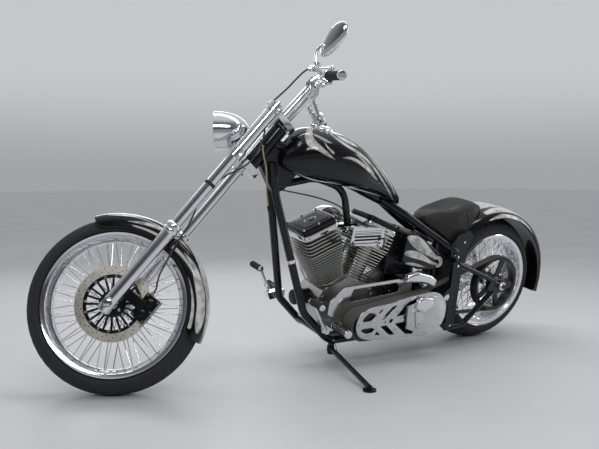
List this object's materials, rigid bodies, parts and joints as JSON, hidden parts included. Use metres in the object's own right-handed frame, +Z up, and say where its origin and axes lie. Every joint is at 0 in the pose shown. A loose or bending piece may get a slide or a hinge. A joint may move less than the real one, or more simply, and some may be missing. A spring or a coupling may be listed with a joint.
{
  "type": "chopper motorcycle",
  "caption": "Long raked chopper motorcycle with wire wheels, V-twin engine, open belt drive, stretched tank and solo seat, leaning on its side stand.",
  "frame": {"origin": "on the floor, under the middle of the bounding box", "axes": "+Z up; +X towards the rear wheel, along the frame; +Y towards the rider's right"},
  "size_m": [2.601, 0.8584, 1.4287],
  "materials": {
    "aluminium": "polished",
    "belt": "toothed belt",
    "black_metal": "black gloss",
    "cast_aluminium": "satin cast",
    "chrome": "mirror polish",
    "fin_metal": "dark with bright fin edges",
    "glass": "clear",
    "hose": "smooth",
    "leather": "smooth black",
    "painted": "black gloss with silver-white licks",
    "plastic": "red",
    "rubber": "ribbed",
    "steel": "ground",
    "tyre": "matt"
  },
  "bodies": {
    "frame": {"air_cleaner": "chrome", "clutch_cover": "chrome", "coil_cover": "chrome", "control_cable": "hose", "crankcase": "cast_aluminium", "cylinders": "fin_metal", "drive_belts": "belt", "exhaust_pipes": "chrome", "foot_controls": "chrome", "fuel_tank": "painted", "main_frame": "black_metal", "motor_plate": "aluminium", "oil_filter": "black_metal", "oil_tank": "painted", "primary_outer_plate": "aluminium", "primary_pulleys": "steel", "rear_axle": "chrome", "rear_caliper": "aluminium", "rear_fender": "painted", "rocker_boxes": "black_metal", "seat": "leather", "swingarm": "black_metal", "tail_light": "plastic", "transmission": "cast_aluminium"},
    "steering": {"fork_sliders": "chrome", "fork_tubes": "chrome", "front_axle": "chrome", "front_caliper": "aluminium", "front_fender": "painted", "front_hose": "hose", "grips": "rubber", "hand_controls": "chrome", "handlebar": "chrome", "handlebar_risers": "chrome", "headlight_lens": "glass", "headlight_shell": "chrome", "mirror": "chrome", "triple_trees": "aluminium"},
    "front_wheel": {"front_brake_disc": "steel", "front_hub": "chrome", "front_rim": "chrome", "front_spokes": "chrome", "front_tyre": "tyre"},
    "rear_wheel": {"rear_brake_disc": "steel", "rear_hub": "chrome", "rear_pulley": "black_metal", "rear_rim": "chrome", "rear_spokes": "chrome", "rear_tyre": "tyre"},
    "side_stand": {"side_stand": "black_metal"}
  },
  "joints": [
    {"name": "steering_turn", "type": "hinge", "parent": "frame", "child": "steering", "pos_m": [-0.96313, 0.14922, 0.30795], "axis": [0.6411, -0.1399, 0.7546], "range_deg": [0, 76]},
    {"name": "front_wheel_turn", "type": "hinge", "parent": "steering", "child": "front_wheel", "pos_m": [-0.99034, 0.17232, 0.33535], "axis": [0.4725, 0.8467, -0.2445], "continuous": true},
    {"name": "rear_wheel_turn", "type": "hinge", "parent": "frame", "child": "rear_wheel", "pos_m": [0.90236, 0.14577, 0.32657], "axis": [0, 0.9833, 0.1822], "continuous": true},
    {"name": "side_stand_fold", "type": "hinge", "parent": "frame", "child": "side_stand", "pos_m": [-0.07916, 0.03089, 0.07938], "axis": [-0.0215, -0.1634, 0.9863], "range_deg": [0, 98]}
  ]
}
